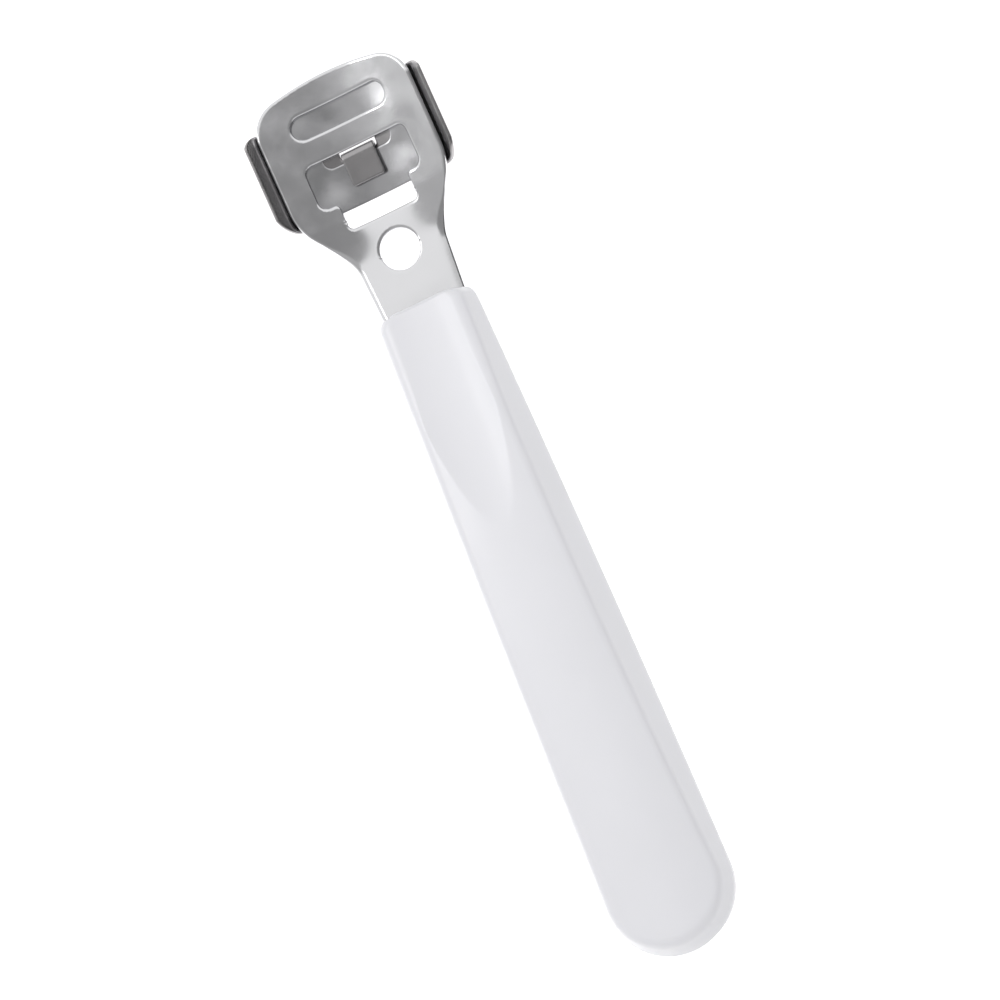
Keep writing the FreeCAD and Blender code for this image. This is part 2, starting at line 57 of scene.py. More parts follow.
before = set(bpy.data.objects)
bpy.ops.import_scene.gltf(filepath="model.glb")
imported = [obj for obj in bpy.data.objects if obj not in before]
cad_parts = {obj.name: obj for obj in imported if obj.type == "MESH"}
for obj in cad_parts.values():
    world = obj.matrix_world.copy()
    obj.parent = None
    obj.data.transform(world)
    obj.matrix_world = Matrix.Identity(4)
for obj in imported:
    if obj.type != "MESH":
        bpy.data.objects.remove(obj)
CAD_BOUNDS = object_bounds()
HANDLE_LOW, HANDLE_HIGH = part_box("handle")
MOUTH_Y = HANDLE_HIGH.y


def mm(value):
    """A length given in millimetres, in metres."""
    return value / 1000.0


# Facts that several pieces share, as the source states them

NECK_LENGTH = mm(19.0)
NECK_UNDERSIDE = mm(4.0)
HEAD_TILT = math.radians(5.5)
ARCH_RADIUS = mm(42.0)
BLADE_EDGE = mm(2.85)
BLADE_HEIGHT = mm(20.0)
BLADE_THICKNESS = mm(0.25)
BLADE_CLEARANCE = mm(0.08)
WINDOW_TOP = mm(13.1)
MOUTH_CORNER = mm(2.4)
PANEL_START = mm(32.8)
FIRST_RIB = mm(3.1)
FOOT_INSET = mm(0.9)
FOOT_BEVEL = mm(0.5)
GIRTH_HEIGHT = mm(4.6)
NECK_IN_HANDLE = mm(3.0)
EDGE_ROLL = mm(1.8)
HOOK_CORNER = mm(0.6)
GUARD_RIM = mm(0.25)

# Step over which slopes of a surface are measured
NUDGE = mm(0.01)


# Properties: the sizes and colours that a user would change


class MouldedHandle(bpy.types.PropertyGroup):
    """Sizes and colour of the moulded handle."""

    length: bpy.props.FloatProperty(
        name="Length", description="From the mouth to the round end",
        default=HANDLE_HIGH.y - HANDLE_LOW.y, unit="LENGTH")
    end_radius: bpy.props.FloatProperty(
        name="End radius", description="Radius of the round end in plan",
        default=HANDLE_HIGH.x, unit="LENGTH")
    mouth_half: bpy.props.FloatProperty(
        name="Half mouth", description="Half of the width at the mouth",
        default=mm(9.8), unit="LENGTH")
    back_height: bpy.props.FloatProperty(
        name="Back height", description="Greatest height of the back over the underside",
        default=HANDLE_HIGH.z, unit="LENGTH")
    scoop_length: bpy.props.FloatProperty(
        name="Thumb rest length", description="From the mouth to the tip of the thumb rest",
        default=mm(44.4), unit="LENGTH")
    shoulder_radius: bpy.props.FloatProperty(
        name="Shoulder radius", description="Rounding between the back and the flanks",
        default=mm(2.4), unit="LENGTH")
    rib_pitch: bpy.props.FloatProperty(
        name="Rib pitch", description="Distance between the ribs of the underside",
        default=mm(4.1), unit="LENGTH")
    colour: bpy.props.StringProperty(
        name="Plastic", description="sRGB hex value of the plastic", default="#E3E3E7")


class PressedHead(bpy.types.PropertyGroup):
    """Sizes and colour of the head plate, drawn along the head from its bend."""

    head_width: bpy.props.FloatProperty(
        name="Head width", description="Width of the head across its straight sides",
        default=mm(31.7), unit="LENGTH")
    head_length: bpy.props.FloatProperty(
        name="Head length", description="From the bend to the tip", default=mm(28.0), unit="LENGTH")
    thickness: bpy.props.FloatProperty(
        name="Sheet", description="Thickness of the steel sheet", default=mm(1.1), unit="LENGTH")
    rim: bpy.props.FloatProperty(
        name="Edge rounding", description="Rounding that tumbling leaves on the pressed edges",
        default=mm(0.5), unit="LENGTH")
    hole_radius: bpy.props.FloatProperty(
        name="Hanging hole", description="Radius of the hole in the neck",
        default=mm(3.8), unit="LENGTH")
    colour: bpy.props.StringProperty(
        name="Steel", description="sRGB hex value of the steel", default="#E0E0E2")


class BladeAndGuard(bpy.types.PropertyGroup):
    """Sizes and colours of the blade and of the guard plate that holds it."""

    blade_width: bpy.props.FloatProperty(
        name="Blade width", description="Width of the blade across the head",
        default=mm(29.8), unit="LENGTH")
    guard_width: bpy.props.FloatProperty(
        name="Guard width", description="Width over both wings of the guard plate",
        default=2.0 * CAD_BOUNDS[1][0], unit="LENGTH")
    guard_thickness: bpy.props.FloatProperty(
        name="Guard sheet", description="Thickness of the guard's sheet",
        default=mm(0.8), unit="LENGTH")
    hook_width: bpy.props.FloatProperty(
        name="Hook width", description="Width of the hook that holds the blade",
        default=mm(6.6), unit="LENGTH")
    blade_colour: bpy.props.StringProperty(
        name="Blade steel", description="sRGB hex value of the blade", default="#C6C6C8")
    guard_colour: bpy.props.StringProperty(
        name="Guard steel", description="sRGB hex value of the guard", default="#A9A7A8")


class Studio(bpy.types.PropertyGroup):
    """Light level and background of the studio."""

    lamp_power: bpy.props.FloatProperty(
        name="Lamp", description="Power of the large softbox in watts", default=2.5, min=0.0)
    sky: bpy.props.FloatProperty(
        name="Room light", description="Strength of the even light of the room",
        default=0.75, min=0.0)
    overhead: bpy.props.FloatProperty(
        name="Overhead card", description="Brightness of the grey card over the head",
        default=0.31, min=0.0)
    overhead_left: bpy.props.FloatProperty(
        name="Overhead left", description="Brightness of that card further to the left",
        default=0.5, min=0.0)
    highlight: bpy.props.FloatProperty(
        name="Highlight", description="Brightness of the softbox's front", default=4.0, min=0.0)
    flag: bpy.props.FloatProperty(
        name="Dark flag", description="Brightness of the dark card beside the tool",
        default=0.08, min=0.0)
    floor_colour: bpy.props.StringProperty(
        name="Floor", description="sRGB hex value of the floor", default="#F4F4F4")


# Helpers for shapes


def smooth_rise(value, low, high):
    """From 0 at low to 1 at high, level at both: three times the square less twice the cube."""
    share = np.clip((value - low) / (high - low), 0.0, 1.0)
    return share * share * (3.0 - 2.0 * share)


def soft_least(first, second, blend):
    """The lesser of two heights, with the crease between them rounded over a blend height."""
    share = np.clip(0.5 + 0.5 * (second - first) / blend, 0.0, 1.0)
    return second + (first - second) * share - blend * share * (1.0 - share)


def grid_quads(rows, columns):
    """Corner numbers of the cells of a grid of points that is stored row by row."""
    index = np.arange(rows * columns).reshape(rows, columns)
    return np.stack([index[:-1, :-1], index[:-1, 1:], index[1:, 1:], index[1:, :-1]], axis=-1)


def rounded_corner(past_side, past_end, radius):
    """Signed distance from a corner rounded to a radius, from how far points are past its two
    straight sides, negative inside it."""
    over = past_side + radius
    past = past_end + radius
    outside = np.hypot(np.maximum(over, 0.0), np.maximum(past, 0.0))
    return outside + np.minimum(np.maximum(over, past), 0.0) - radius


def rounded_box(across, along, half_across, low, high, radius):
    """Signed distance from a rectangle with round corners, negative inside it."""
    past_side = np.abs(across) - half_across
    past_end = np.abs(along - (low + high) / 2.0) - (high - low) / 2.0
    return rounded_corner(past_side, past_end, radius)


def depth_in_slot(across, along, half_straight, radius):
    """How deep points lie inside a slot with round ends that is centred where both lengths are
    0: its radius less the distance from its middle line, so negative outside it."""
    return radius - np.hypot(np.maximum(np.abs(across) - half_straight, 0.0), along)


def even_height(height):
    """Function that gives every point of a sheet the same height."""
    def surface(across, along):
        return np.full_like(across, height)
    return surface


def scene_object(name, data):
    """A new object of this data, linked into the scene."""
    made = bpy.data.objects.new(name, data)
    bpy.context.scene.collection.objects.link(made)
    return made


def add_piece(name, points, faces, node, material):
    """Makes a closed, smooth mesh of these points and faces, and has it stand for its CAD node."""
    mesh = bpy.data.meshes.new(name)
    mesh.from_pydata(points.tolist(), [], faces.tolist())
    work = bmesh.new()
    work.from_mesh(mesh)
    bmesh.ops.remove_doubles(work, verts=work.verts, dist=mm(0.0002))
    bmesh.ops.recalc_face_normals(work, faces=work.faces)
    work.to_mesh(mesh)
    work.free()
    mesh.polygons.foreach_set("use_smooth", [True] * len(mesh.polygons))
    mesh.materials.append(material)
    piece = scene_object(name, mesh)
    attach(piece, "root")
    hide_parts(node)


# Helpers for materials

# The Mix node's colour sockets share their names with its number sockets, so they go by place,
# as the inputs of Math and Mix Shader nodes do.
MIX_FACTOR = 0
MIX_FIRST = 6
MIX_SECOND = 7
MIX_RESULT = 2

WHITE = (1.0, 1.0, 1.0, 1.0)


def colour(hex_value):
    """An sRGB hex value as linear red, green, blue and alpha."""
    parts = [int(hex_value[start:start + 2], 16) / 255.0 for start in (1, 3, 5)]
    linear = [
        part / 12.92 if part <= 0.04045 else ((part + 0.055) / 1.055) ** 2.4 for part in parts]
    return (*linear, 1.0)


def shade(hex_value, factor):
    """The same colour made darker or lighter, as linear values."""
    red, green, blue, alpha = colour(hex_value)
    return (min(1.0, red * factor), min(1.0, green * factor), min(1.0, blue * factor), alpha)


def add_node(tree, kind, settings, inputs):
    """Adds one node, sets its settings, and fills its inputs with values or with links."""
    made = tree.nodes.new(kind)
    for name, value in settings.items():
        setattr(made, name, value)
    for name, value in inputs.items():
        if isinstance(value, bpy.types.NodeSocket):
            tree.links.new(value, made.inputs[name])
        else:
            made.inputs[name].default_value = value
    return made


def empty_material(name):
    """A new material without nodes, and its node tree."""
    material = bpy.data.materials.new(name)
    material.use_nodes = True
    material.node_tree.nodes.clear()
    return material, material.node_tree


def seen_directly(tree):
    """Socket that is 1 for rays that come from the camera, off shiny surfaces or through glass,
    and 0 for those that light the tool."""
    path = add_node(tree, "ShaderNodeLightPath", {}, {})
    seen = add_node(tree, "ShaderNodeMath", {"operation": "MAXIMUM"}, {
        0: path.outputs["Is Camera Ray"], 1: path.outputs["Is Glossy Ray"]})
    seen_through = add_node(tree, "ShaderNodeMath", {"operation": "MAXIMUM"}, {
        0: seen.outputs["Value"], 1: path.outputs["Is Transmission Ray"]})
    return seen_through.outputs["Value"]


def moulded_polypropylene(hex_value):
    """White polypropylene from a polished mould: soft gloss under a smoother skin, light that
    goes a little way in, faint waviness where the thick wall has shrunk, and fine scuffs from
    handling."""
    material, tree = empty_material("moulded polypropylene")
    place = add_node(tree, "ShaderNodeTexCoord", {}, {}).outputs["Object"]
    # Shrink marks are 12 to 20 mm across, scuffs about 1.5 mm, and the mould's grain 0.25 mm.
    sink = add_node(tree, "ShaderNodeTexNoise", {}, {
        "Vector": place, "Scale": 1.0 / mm(16.0), "Detail": 2.0, "Roughness": 0.45})
    scuff = add_node(tree, "ShaderNodeTexNoise", {}, {
        "Vector": place, "Scale": 1.0 / mm(1.5), "Detail": 4.0, "Roughness": 0.6})
    grain = add_node(tree, "ShaderNodeTexNoise", {}, {
        "Vector": place, "Scale": 1.0 / mm(0.25), "Detail": 2.0, "Roughness": 0.5})
    tint = add_node(tree, "ShaderNodeMix", {"data_type": "RGBA"}, {
        MIX_FACTOR: sink.outputs["Fac"],
        MIX_FIRST: shade(hex_value, 0.975), MIX_SECOND: shade(hex_value, 1.015)})
    gloss = add_node(tree, "ShaderNodeMapRange", {}, {
        "Value": scuff.outputs["Fac"],
        "From Min": 0.3, "From Max": 0.7, "To Min": 0.3, "To Max": 0.33})
    wave = add_node(tree, "ShaderNodeBump", {}, {
        "Strength": 0.25, "Distance": mm(0.12), "Height": sink.outputs["Fac"]})
    bump = add_node(tree, "ShaderNodeBump", {}, {
        "Strength": 0.18, "Distance": mm(0.01), "Height": grain.outputs["Fac"],
        "Normal": wave.outputs["Normal"]})
    plastic = add_node(tree, "ShaderNodeBsdfPrincipled", {}, {
        "Base Color": tint.outputs[MIX_RESULT], "Roughness": gloss.outputs["Result"], "IOR": 1.49,
        "Subsurface Weight": 0.12, "Subsurface Radius": (1.0, 1.0, 1.1),
        "Subsurface Scale": mm(1.2), "Coat Weight": 0.3, "Coat Roughness": 0.15,
        "Normal": bump.outputs["Normal"]})
    add_node(tree, "ShaderNodeOutputMaterial", {}, {"Surface": plastic.outputs["BSDF"]})
    return material


def rolled_stainless(name, hex_value, roughness, line_strength, flex):
    """Cold-rolled stainless sheet, pressed and tumbled: satin reflections that bend a little
    where the sheet has sprung back by the flex, faint rolling lines across the tool, and cloudy
    patches where the tumbling stones have rubbed."""
    material, tree = empty_material(name)
    place = add_node(tree, "ShaderNodeTexCoord", {}, {}).outputs["Object"]
    # Rolling lines are 0.12 mm apart and 6 mm long, stretched along X. Clouds are about 5 mm
    # across, pits 0.2 mm, and the bends of the sprung sheet 9 mm.
    turned = add_node(tree, "ShaderNodeMapping", {}, {
        "Vector": place, "Scale": (0.02, 1.0, 1.0)})
    lines = add_node(tree, "ShaderNodeTexNoise", {}, {
        "Vector": turned.outputs["Vector"],
        "Scale": 1.0 / mm(0.12), "Detail": 3.0, "Roughness": 0.6})
    cloud = add_node(tree, "ShaderNodeTexNoise", {}, {
        "Vector": place, "Scale": 1.0 / mm(5.0), "Detail": 4.0, "Roughness": 0.55})
    pit = add_node(tree, "ShaderNodeTexNoise", {}, {
        "Vector": place, "Scale": 1.0 / mm(0.2), "Detail": 2.0, "Roughness": 0.5})
    tint = add_node(tree, "ShaderNodeMix", {"data_type": "RGBA"}, {
        MIX_FACTOR: cloud.outputs["Fac"],
        MIX_FIRST: shade(hex_value, 0.93), MIX_SECOND: shade(hex_value, 1.04)})
    satin = add_node(tree, "ShaderNodeMapRange", {}, {
        "Value": cloud.outputs["Fac"], "From Min": 0.3, "From Max": 0.7,
        "To Min": roughness - 0.04, "To Max": roughness + 0.05})
    spring = add_node(tree, "ShaderNodeTexNoise", {}, {
        "Vector": place, "Scale": 1.0 / mm(9.0), "Detail": 0.0})
    sprung = add_node(tree, "ShaderNodeBump", {}, {
        "Strength": 1.0, "Distance": flex, "Height": spring.outputs["Fac"]})
    rolled = add_node(tree, "ShaderNodeBump", {}, {
        "Strength": line_strength, "Distance": mm(0.004), "Height": lines.outputs["Fac"],
        "Normal": sprung.outputs["Normal"]})
    bump = add_node(tree, "ShaderNodeBump", {}, {
        "Strength": 0.12, "Distance": mm(0.006), "Height": pit.outputs["Fac"],
        "Normal": rolled.outputs["Normal"]})
    steel = add_node(tree, "ShaderNodeBsdfPrincipled", {}, {
        "Base Color": tint.outputs[MIX_RESULT], "Metallic": 1.0,
        "Roughness": satin.outputs["Result"], "Normal": bump.outputs["Normal"]})
    add_node(tree, "ShaderNodeOutputMaterial", {}, {"Surface": steel.outputs["BSDF"]})
    return material


def matt_paper(hex_value):
    """Matt white paper sweep: it takes the tool's faint shadow and otherwise shows as white."""
    paper_glow = 0.75
    material, tree = empty_material("matt white paper")
    glow = add_node(tree, "ShaderNodeMath", {"operation": "MULTIPLY"}, {
        0: seen_directly(tree), 1: paper_glow})
    paper = add_node(tree, "ShaderNodeBsdfPrincipled", {}, {
        "Base Color": colour(hex_value), "Roughness": 0.95, "Specular IOR Level": 0.0,
        "Emission Color": WHITE, "Emission Strength": glow.outputs["Value"]})
    add_node(tree, "ShaderNodeOutputMaterial", {}, {"Surface": paper.outputs["BSDF"]})
    return material


def lit_card(name, level, left_level):
    """Lit card of the studio: it gives the steel a tone to mirror, which changes smoothly from
    one level over the tool to another well to its left."""
    left = mm(-450.0)
    material, tree = empty_material(name)
    place = add_node(tree, "ShaderNodeTexCoord", {}, {}).outputs["Object"]
    parts = add_node(tree, "ShaderNodeSeparateXYZ", {}, {"Vector": place})
    strength = add_node(tree, "ShaderNodeMapRange", {"interpolation_type": "SMOOTHSTEP"}, {
        "Value": parts.outputs["X"], "From Min": left, "From Max": 0.0,
        "To Min": left_level, "To Max": level})
    glow = add_node(tree, "ShaderNodeEmission", {}, {
        "Color": WHITE, "Strength": strength.outputs["Result"]})
    add_node(tree, "ShaderNodeOutputMaterial", {}, {"Surface": glow.outputs["Emission"]})
    return material


# Handle


def half_width(size, back):
    """Half of the handle's plan width at a distance back from the mouth: a straight taper with
    a slight bow, less what the round corner takes at the mouth."""
    straight = size.length - size.end_radius
    share = back / straight
    bow = mm(0.35)
    full = (size.mouth_half + (size.end_radius - size.mouth_half) * share
            + 4.0 * bow * share * (1.0 - share))
    short = np.maximum(MOUTH_CORNER - back, 0.0)
    return full - MOUTH_CORNER + np.sqrt(MOUTH_CORNER ** 2 - short ** 2)


def back_surface(size, x, back):
    """Height of the back: a crown of 38 mm radius bowed along the tool, and the thumb rest, a
    28 mm round scoop that sags on its way down to the mouth; the lesser of the two, softly
    joined."""
    bow_radius = mm(750.0)
    peak = mm(60.0)
    crown_radius = mm(38.0)
    scoop_radius = mm(28.0)
    scoop_mouth = mm(8.4)
    sag_radius = mm(760.0)
    join_blend = mm(0.1)

    def bowed(distance):
        return size.back_height - bow_radius + np.sqrt(bow_radius ** 2 - (distance - peak) ** 2)

    crown = bowed(back) - crown_radius + np.sqrt(crown_radius ** 2 - x ** 2)
    rise = (bowed(size.scoop_length) - scoop_mouth) / size.scoop_length
    sag = back * (size.scoop_length - back) / (2.0 * sag_radius)
    scoop = scoop_mouth + rise * back - sag + scoop_radius - np.sqrt(scoop_radius ** 2 - x ** 2)
    return soft_least(crown, scoop, join_blend)


def underside_surface(size, x, back):
    """Height of the underside: level, with a recessed panel that holds round-backed ribs. The
    panel is two round ends of different radius joined by tangents, and its depth comes up over
    its distance from that outline. Each rib is a round bar with round ends."""
    border = mm(2.9)
    depth = mm(0.5)
    end_margin = mm(3.3)
    crest = mm(1.3)
    rib_gap = mm(1.1)
    rib_end = crest * 0.7
    edge_blend = mm(0.12)
    far_radius = size.end_radius - border
    far = size.length - end_margin - far_radius
    near_radius = half_width(size, PANEL_START) - border
    near = PANEL_START + near_radius
    span = far - near
    lean = (far_radius - near_radius) / span
    level = math.sqrt(1.0 - lean * lean)
    side = np.abs(x)
    up = far - back
    turn = up * level - side * lean
    at_far = np.hypot(side, up) - far_radius
    at_near = np.hypot(side, up - span) - near_radius
    between = side * level + up * lean - far_radius
    panel = np.where(turn < 0.0, at_far, np.where(turn > span * level, at_near, between))
    recess = depth * smooth_rise(-panel, -edge_blend, edge_blend)
    room = size.length - end_margin - PANEL_START - 2.0 * FIRST_RIB
    last_rib = int(room / size.rib_pitch)
    past_first = back - PANEL_START - FIRST_RIB
    number = np.clip(np.round(past_first / size.rib_pitch), 0, last_rib)
    across_rib = past_first - number * size.rib_pitch
    past_end = np.maximum(panel + rib_gap + rib_end, 0.0)
    away = np.hypot(across_rib, past_end)
    rib = crest - np.sqrt(np.maximum(crest ** 2 - away ** 2, 0.0))
    return np.maximum(np.minimum(recess, rib), 0.0)


def handle_rows(size):
    """Rows of the handle's net, from the mouth down the right side, round the end and up the
    left side: where each starts on the middle line, its direction in plan and its half width.
    They are close together round the mouth's corners and over the ribs."""
    rows_per_rib = 16.0
    straight = size.length - size.end_radius
    turned = MOUTH_CORNER * (1.0 - np.cos(np.linspace(0.0, math.pi / 2.0, 14)))
    step = size.rib_pitch / rows_per_rib
    first_rib = PANEL_START + FIRST_RIB
    lead = np.linspace(MOUTH_CORNER, first_rib, 130)[1:]
    ribbed = np.arange(first_rib + step, straight - step / 2.0, step)
    back = np.concatenate([turned, lead, ribbed])
    fan = np.linspace(0.0, math.pi, 111)
    plain = np.zeros_like(back)
    from_mouth = np.concatenate([back, np.full_like(fan, straight), back[::-1]])
    out_x = np.concatenate([plain + 1.0, np.cos(fan), plain - 1.0])
    out_back = np.concatenate([plain, np.sin(fan), plain])
    width = half_width(size, back)
    half = np.concatenate([width, np.full_like(fan, size.end_radius), width[::-1]])
    return from_mouth[:, None], out_x[:, None], out_back[:, None], half[:, None]


def handle_net(size):
    """Closed surface of the handle as a net of rows and columns. A row leaves the middle line,
    crosses the back, turns over the shoulder as a true arc, comes down the flank, which is
    widest at the girth, rounds the foot and returns under the handle."""
    from_mouth, out_x, out_back, half = handle_rows(size)
    flank_top = mm(13.2)
    flank_inset = mm(2.9)
    first_inset = mm(1.5)
    slope_step = mm(1.0)
    lean = flank_inset / (flank_top - GIRTH_HEIGHT)

    def top_at(reach):
        return back_surface(size, out_x * reach, from_mouth + out_back * reach)

    # The corner of back and flank is found by stepping along the flank's slope.
    reach = half - first_inset
    for _ in range(8):
        reach = half - lean * (top_at(reach) - GIRTH_HEIGHT)
    height = top_at(reach)
    slope = (top_at(reach) - top_at(reach - slope_step)) / slope_step
    turn = math.pi / 2.0 - math.atan(lean) + np.arctan(slope)
    tangent = size.shoulder_radius * np.tan(turn / 2.0)
    inner = reach - tangent * np.cos(np.arctan(slope))
    flank_z = height - tangent * math.cos(math.atan(lean))
    flank_reach = half - lean * (flank_z - GIRTH_HEIGHT)
    share = np.linspace(0.0, 1.0, 27)[None, :-1]
    top_reach = inner * np.sin(share * math.pi / 2.0)
    top_height = top_at(top_reach)
    # The shoulder is a conic through three points whose weight makes it a circle's arc.
    t = np.linspace(0.0, 1.0, 11)[None, :]
    weight = np.cos(turn / 2.0)

    def conic(first, middle, last):
        return (1.0 - t) ** 2 * first + 2.0 * weight * t * (1.0 - t) * middle + t ** 2 * last

    scale = conic(1.0, 1.0, 1.0)
    arc_reach = conic(inner, reach, flank_reach) / scale
    arc_height = conic(top_at(inner), height, flank_z) / scale
    flat = np.zeros_like(half)
    down = np.linspace(0.0, 1.0, 6)[None, 1:]
    side_height = flank_z + (GIRTH_HEIGHT - flank_z) * down
    side_reach = half - lean * (side_height - GIRTH_HEIGHT)
    low = np.linspace(0.0, 1.0, 4)[None, 1:]
    foot_height = GIRTH_HEIGHT + (FOOT_BEVEL - GIRTH_HEIGHT) * low + flat
    foot_reach = half - FOOT_INSET * low
    roll = np.linspace(0.0, math.pi / 2.0, 6)[None, 1:]
    roll_height = FOOT_BEVEL * (1.0 - np.sin(roll)) + flat
    roll_reach = half - FOOT_INSET - FOOT_BEVEL * (1.0 - np.cos(roll))
    # Insets of the underside's columns, close together at the panel's edge and the ribs' ends
    insets = mm(np.array([
        1.7, 2.1, 2.5, 2.72, 2.81, 2.9, 2.99, 3.08, 3.4, 3.8,
        4.0, 4.2, 4.4, 4.6, 4.8, 5.0, 5.2, 5.4, 5.8]))
    under_reach = np.concatenate([
        half - insets[None, :],
        (half - insets[-1]) * np.linspace(1.0, 0.0, 21)[None, 1:],
    ], axis=1)
    under_height = underside_surface(
        size, out_x * under_reach, from_mouth + out_back * under_reach)
    reach_all = np.concatenate(
        [top_reach, arc_reach, side_reach, foot_reach, roll_reach, under_reach], axis=1)
    height_all = np.concatenate(
        [top_height, arc_height, side_height, foot_height, roll_height, under_height], axis=1)
    x = out_x * reach_all
    y = MOUTH_Y - from_mouth - out_back * reach_all
    return x, y, height_all


def close_mouth(x, y, z):
    """Rows that turn a small round into the mouth's face and close it: each is the first or last
    row drawn in towards the face's middle."""
    rim = mm(0.45)
    inward = [0.7, 0.35, 0.0]
    turn = np.linspace(0.0, math.pi / 2.0, 6)
    middle_z = (z[0].max() + z[0].min()) / 2.0
    tall = (z[0].max() - z[0].min()) / 2.0
    wide = x[0].max()
    inset = rim * (1.0 - np.cos(turn))
    factors = np.concatenate([1.0 - inset / tall, inward])
    side_factors = np.concatenate([1.0 - inset / wide, inward])
    places = np.concatenate([MOUTH_Y - rim * (1.0 - np.sin(turn)), [MOUTH_Y] * len(inward)])

    def cap(row_x, row_z):
        return (row_x[None, :] * side_factors[:, None],
                np.repeat(places[:, None], row_x.size, axis=1),
                middle_z + (row_z[None, :] - middle_z) * factors[:, None])

    right = cap(x[0], z[0])
    left = cap(x[-1], z[-1])
    back = np.minimum(y, MOUTH_Y - rim)
    return tuple(
        np.concatenate([right[axis][::-1], body, left[axis]])
        for axis, body in enumerate((x, back, z)))


# Sheet metal


def unit(vectors):
    """Vectors brought to length 1; one without length stays as it is."""
    lengths = np.linalg.norm(vectors, axis=1, keepdims=True)
    return vectors / np.where(lengths > 0.0, lengths, 1.0)


def slopes(function, across, along):
    """How fast a function of the sheet's two lengths changes along each of them."""
    by_across = function(across + NUDGE, along) - function(across - NUDGE, along)
    by_along = function(across, along + NUDGE) - function(across, along - NUDGE)
    return by_across / (2.0 * NUDGE), by_along / (2.0 * NUDGE)


def trimmed_net(across, along, outline, rim):
    """A net trimmed to an outline that is given as a signed distance. Cells whose middle is
    outside are dropped, the points left on the border are moved along the distance's slope onto
    the outline, and the points near them are evened out."""
    passes = 4
    least_steep = 0.25
    near_cells = 2.5
    rows, columns = across.shape

    def distance(one, other):
        return outline(one, other) + rim

    middle_across = (across[:-1, :-1] + across[1:, 1:] + across[:-1, 1:] + across[1:, :-1]) / 4.0
    middle_along = (along[:-1, :-1] + along[1:, 1:] + along[:-1, 1:] + along[1:, :-1]) / 4.0
    cells = grid_quads(rows, columns)[distance(middle_across, middle_along) < 0.0]
    edges = np.concatenate([cells[:, pair] for pair in ([0, 1], [1, 2], [2, 3], [3, 0])])
    total = rows * columns
    keys = edges[:, 0] * total + edges[:, 1]
    reverse = edges[:, 1] * total + edges[:, 0]
    border_edges = edges[~np.isin(keys, reverse)]
    border = np.unique(border_edges)
    used = np.zeros(total, dtype=bool)
    used[cells.ravel()] = True
    p = across.ravel().copy()
    q = along.ravel().copy()

    for _ in range(passes):
        by_across, by_along = slopes(distance, p[border], q[border])
        steep = np.maximum(by_across ** 2 + by_along ** 2, least_steep)
        short = distance(p[border], q[border])
        p[border] -= short * by_across / steep
        q[border] -= short * by_along / steep

    cell = np.hypot(across[0, 1] - across[0, 0], along[1, 0] - along[0, 0])
    near = used & (np.abs(distance(across.ravel(), along.ravel())) < near_cells * cell)
    near[border] = False
    starts = np.concatenate([edges[:, 0], edges[:, 1]])
    ends = np.concatenate([edges[:, 1], edges[:, 0]])
    counts = np.maximum(np.bincount(starts, minlength=total), 1)
    for _ in range(passes):
        even_p = np.bincount(starts, weights=p[ends], minlength=total) / counts
        even_q = np.bincount(starts, weights=q[ends], minlength=total) / counts
        p[near] = even_p[near]
        q[near] = even_q[near]
    return p, q, cells, border_edges, used


def pressed_sheet(place, across, along, outline, above, below, rim):
    """Solid sheet whose two faces stand off a middle surface by given heights, and whose edge
    is rounded: from the trimmed border, rings go out and down over a quarter circle, and up
    under to the other face in the same way."""
    p, q, cells, border_edges, used = trimmed_net(across, along, outline, rim)
    border = np.unique(border_edges)
    middle = place(p, q)
    along_across, along_along = slopes(place, p, q)
    normal = unit(np.cross(along_across, along_along))
    up = above(p, q)[:, None]
    down = below(p, q)[:, None]
    by_across, by_along = slopes(outline, p[border], q[border])
    outward = unit(by_across[:, None] * unit(along_across[border])
                   + by_along[:, None] * unit(along_along[border]))

    def ring(turn, face):
        """The border moved out and in from one face, as far as this turn of the round."""
        inset = rim * (1.0 - math.cos(turn))
        height = np.sign(face[border]) * (np.abs(face[border]) - inset)
        return middle[border] + outward * rim * math.sin(turn) + normal[border] * height

    roll = np.linspace(0.0, math.pi / 2.0, 5)[1:]
    rings = [ring(turn, up) for turn in roll] + [ring(turn, -down) for turn in roll[::-1]]
    total = p.size
    count = border.size
    points = np.concatenate([middle + normal * up, middle - normal * down] + rings)
    start = np.searchsorted(border, border_edges[:, 0])
    end = np.searchsorted(border, border_edges[:, 1])
    ring_edges = np.stack([start, end], axis=1) + 2 * total
    levels = [border_edges]
    levels += [ring_edges + number * count for number in range(len(rings))]
    levels += [border_edges + total]
    walls = [
        np.stack([high[:, 1], high[:, 0], low[:, 0], low[:, 1]], axis=1)
        for high, low in zip(levels[:-1], levels[1:])
    ]
    faces = np.concatenate([cells, cells[:, ::-1] + total] + walls)
    kept = np.concatenate([used, used, np.ones(len(rings) * count, dtype=bool)])
    new_numbers = np.cumsum(kept) - 1
    return points[kept], new_numbers[faces]


def on_head(x, along, height):
    """Lays points drawn along the straight head on the tilted head."""
    y = NECK_LENGTH + along * math.cos(HEAD_TILT) - height * math.sin(HEAD_TILT)
    z = NECK_UNDERSIDE + along * math.sin(HEAD_TILT) + height * math.cos(HEAD_TILT)
    return np.stack([x, y + MOUTH_Y, z], axis=-1)


